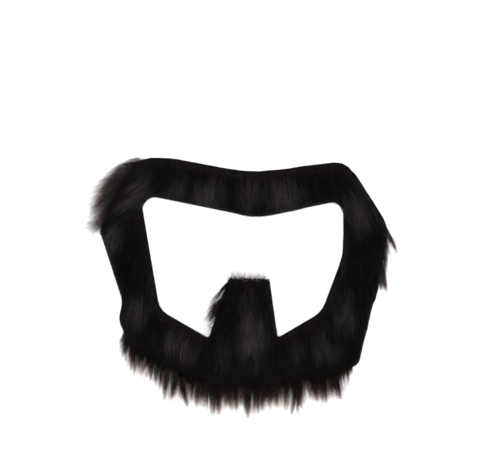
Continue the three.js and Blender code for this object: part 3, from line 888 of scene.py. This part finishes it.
def underfur_material():
    made, nodes, links, shader = new_material("underfur")
    where = nodes.new("ShaderNodeTexCoord")
    stretched = nodes.new("ShaderNodeMapping")
    stretched.inputs["Scale"].default_value = (1400, 180, 600)
    links.new(where.outputs["Object"], stretched.inputs["Vector"])
    streaks = nodes.new("ShaderNodeTexNoise")
    streaks.inputs["Scale"].default_value = 1
    streaks.inputs["Detail"].default_value = 3
    links.new(stretched.outputs[0], streaks.inputs["Vector"])
    shades = [(0.3, (0.0042, 0.0031, 0.0030)), (0.7, (0.0056, 0.0042, 0.0041))]
    links.new(ramp(nodes, links, streaks.outputs["Fac"], shades), shader.inputs["Base Color"])
    raised(nodes, links, streaks.outputs["Fac"], shader, strength=0.4, distance=0.0003)
    shader.inputs["Roughness"].default_value = 0.8
    shader.inputs["Specular IOR Level"].default_value = 0.02
    return made


def cloth_material():
    made, nodes, links, shader = new_material("knit_backing")
    where = nodes.new("ShaderNodeTexCoord")
    waves = []
    for direction, scale in (("X", 450), ("Y", 350)):
        wave = nodes.new("ShaderNodeTexWave")
        wave.bands_direction = direction
        wave.inputs["Scale"].default_value = scale
        wave.inputs["Distortion"].default_value = 1.2
        links.new(where.outputs["Object"], wave.inputs["Vector"])
        waves.append(wave)
    weave = nodes.new("ShaderNodeMath")
    weave.operation = "MULTIPLY"
    links.new(waves[0].outputs["Fac"], weave.inputs[0])
    links.new(waves[1].outputs["Fac"], weave.inputs[1])
    shades = [(0, (0.004, 0.0038, 0.0045)), (1, (0.02, 0.018, 0.02))]
    links.new(ramp(nodes, links, weave.outputs[0], shades), shader.inputs["Base Color"])
    raised(nodes, links, weave.outputs[0], shader, strength=0.6, distance=0.0002)
    shader.inputs["Roughness"].default_value = 0.9
    return made


def film_material():
    made, nodes, links, shader = new_material("adhesive_film")
    where = nodes.new("ShaderNodeTexCoord")
    mottle = nodes.new("ShaderNodeTexNoise")
    mottle.inputs["Scale"].default_value = 220
    mottle.inputs["Detail"].default_value = 4
    links.new(where.outputs["Object"], mottle.inputs["Vector"])
    shades = [(0, (0.62, 0.56, 0.44)), (1, (0.78, 0.73, 0.61))]
    links.new(ramp(nodes, links, mottle.outputs["Fac"], shades), shader.inputs["Base Color"])
    raised(nodes, links, mottle.outputs["Fac"], shader, strength=0.35, distance=0.0002)
    shader.inputs["Roughness"].default_value = 0.35
    return made


def cloth_top_at(plan):
    """The cloth's upper face, a little uneven."""
    return CLOTH_TOP - 0.06 + 0.05 * np.sin(plan[:, 0] * 0.9) * np.sin(plan[:, 1] * 0.8)


def underfur_top_at(plan):
    """The top of the short dense hair, lower at the cloth's edges and uneven from tuft to tuft."""
    depth = depth_at(plan)
    rise = (0.5 * pile_height(depth) - 0.5) * np.clip(depth / 3, 0, 1)
    return CLOTH_TOP + 0.25 + rise + 0.2 * np.sin(plan[:, 0] * 2.3 + np.sin(plan[:, 1]))


def dress(piece, node_names, material):
    """Gives a piece its material, puts it on the body it rides on, and hides the nodes it stands for."""
    piece.data.materials.append(material)
    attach(piece, "root")
    if node_names:
        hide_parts(*node_names)
    return piece


# The film and the cloth, each on the plan of its own solid
film_rims = rims_of("adhesive_layer")
film_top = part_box("adhesive_layer")[1][2] / MM
film = flat_body("adhesive_film", film_rims, 0.0, lambda plan: np.full(len(plan), film_top), 3.0)
dress(film, ["adhesive_layer"], film_material())

cloth = flat_body("backing_cloth", cloth_rims, film_top, cloth_top_at, 2.0, inset=0.05)
dress(cloth, ["fabric_backing"], cloth_material())

# The short dense hair between the long ones
underfur = flat_body("dense_underfur", hair_rims, CLOTH_TOP, underfur_top_at, 1.1, inset=0.3)
dress(underfur, [], underfur_material())

# The long hair
root_pitch = 1 / math.sqrt(BED["density"])
all_roots = plan_grid(cloth_low[:2], cloth_high[:2], root_pitch)
all_roots = all_roots + random.uniform(-0.5, 0.5, all_roots.shape) * root_pitch
all_roots = all_roots[depth_at(all_roots) > ROOT_MARGIN]
zones = zone_of(all_roots)
hair_material = fur_material()
for zone, spec in ZONES.items():
    coat = hairs(zone.replace("_fur", "_hair"), all_roots[zones == zone], spec)
    dress(coat, [zone], hair_material)

for tuft, spec in TUFTS.items():
    low, high = np.array(spec["low"]), np.array(spec["high"])
    roots = random.uniform(low, high, (int(np.prod(high - low) * spec["density"]), 2))
    depth = depth_at(roots)
    roots = roots[(depth > ROOT_MARGIN) & (depth < spec["depth"])]
    dress(hairs(tuft, roots, spec), [], hair_material)
for lock, rows in LOCKS.items():
    colours = ASHEN if "tuft" in lock else BROWN
    dress(locks(lock, rows, colours), [], hair_material)
dress(flyaways("flyaway_hair"), [], hair_material)

# A pale floor, soft light from above, and a camera straight over the fur side, in metres
FLOOR_REACH = 3
FLOOR_HEIGHT = -0.0003
FLOOR_CORNERS = ((-1, -1), (1, -1), (1, 1), (-1, 1))
floor_places = [(x * FLOOR_REACH, y * FLOOR_REACH, FLOOR_HEIGHT) for x, y in FLOOR_CORNERS]
floor_mesh = bpy.data.meshes.new("floor")
floor_mesh.from_pydata(floor_places, [], [(0, 1, 2, 3)])
floor = bpy.data.objects.new("floor", floor_mesh)
bpy.context.scene.collection.objects.link(floor)
floor_material, _, _, floor_shader = new_material("pale_floor")
floor_shader.inputs["Base Color"].default_value = (0.9, 0.9, 0.9, 1)
floor_shader.inputs["Roughness"].default_value = 0.9
floor_mesh.materials.append(floor_material)

bpy.context.scene.view_settings.view_transform = "Standard"
world = bpy.data.worlds.new("studio")
bpy.context.scene.world = world
world.use_nodes = True
world.node_tree.nodes["Background"].inputs["Color"].default_value = (1, 1, 1, 1)
world.node_tree.nodes["Background"].inputs["Strength"].default_value = 1.0

LIGHTS = {
    "key": {"at": (-0.15, -0.1, 1.2), "size": 0.6, "power": 10.0},
    "fill": {"at": (0.6, 0.5, 0.9), "size": 0.9, "power": 5.0},
}
for light_name, light in LIGHTS.items():
    data = bpy.data.lights.new(light_name, "AREA")
    data.energy = light["power"]
    data.size = light["size"]
    lamp = bpy.data.objects.new(light_name, data)
    lamp.location = light["at"]
    lamp.rotation_euler = (-Vector(light["at"])).to_track_quat("-Z", "Y").to_euler()
    bpy.context.scene.collection.objects.link(lamp)

# The photograph's scale, and the pixels that show the object's origin and the middle of the picture
PIXEL = 0.4453
ORIGIN_PIXEL = (244.5, 287.0)
MIDDLE_PIXEL = (250.0, 229.0)
FRAME_WIDTH = 2 * MIDDLE_PIXEL[0] * PIXEL * MM
camera_data = bpy.data.cameras.new("camera")
camera_data.lens = 110
camera_data.sensor_width = 36
camera = bpy.data.objects.new("camera", camera_data)
camera.location = (
    (MIDDLE_PIXEL[0] - ORIGIN_PIXEL[0]) * PIXEL * MM,
    (ORIGIN_PIXEL[1] - MIDDLE_PIXEL[1]) * PIXEL * MM,
    FRAME_WIDTH * camera_data.lens / camera_data.sensor_width + 0.005,
)
bpy.context.scene.collection.objects.link(camera)
bpy.context.scene.camera = camera
